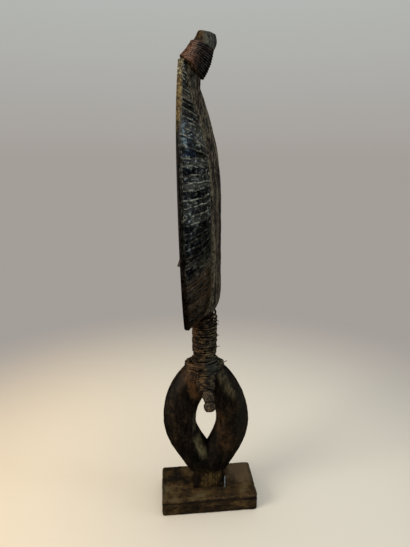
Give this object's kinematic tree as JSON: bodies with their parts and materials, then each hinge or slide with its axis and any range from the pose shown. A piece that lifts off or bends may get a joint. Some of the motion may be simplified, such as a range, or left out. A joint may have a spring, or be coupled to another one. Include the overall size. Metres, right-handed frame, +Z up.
{
  "type": "reliquary guardian figure",
  "caption": "Wooden reliquary figure with a leaf-shaped, metal-clad head, wound neck and openwork almond foot, standing on a rectangular plinth.",
  "frame": {"origin": "middle of the plinth's underside", "axes": "+Z up the figure, the face looks along -Y, +X towards the figure's left"},
  "size_m": [0.1501, 0.108, 0.4987],
  "materials": {
    "plinth_wood": "worn brown wood, darker at the edges, dusty grey-green in places",
    "dark_wood": "dark brown wood polished by handling, dusty where it is not touched",
    "dark_strip": "blackened brass strip, glossy and crumpled, blue sky reflections",
    "keel_metal": "dull grey-brown brass with lengthwise scratches",
    "face_metal": "darkened brass strip, rubbed brighter on the edges",
    "rim_metal": "golden brass, rubbed bright, brown in the hollows",
    "cap_metal": "dull golden-brown sheet, grey on the shaded side",
    "copper_wire": "copper wire, orange-red where rubbed, purplish brown elsewhere",
    "cord": "stiff encrusted cord, rusty brown with verdigris",
    "peg_wood": "bare grey-brown wood",
    "nail_iron": "rubbed iron"
  },
  "bodies": {
    "root": {"plinth": "plinth_wood", "wooden_figure": "dark_wood", "back_strips_left": "dark_strip", "back_strips_right": "dark_strip", "keel_sheath": "keel_metal", "face_strips_left": "face_metal", "face_strips_right": "face_metal", "brow_band": "face_metal", "rim_band": "rim_metal", "eye_left": "rim_metal", "eye_right": "rim_metal", "nose_blade": "rim_metal", "topknot_sheath": "cap_metal", "topknot_wire": "copper_wire", "neck_cord": "cord", "shoulder_lashing": "cord", "side_peg": "peg_wood", "peg_binding": "cord", "foot_nail": "nail_iron"}
  },
  "joints": []
}
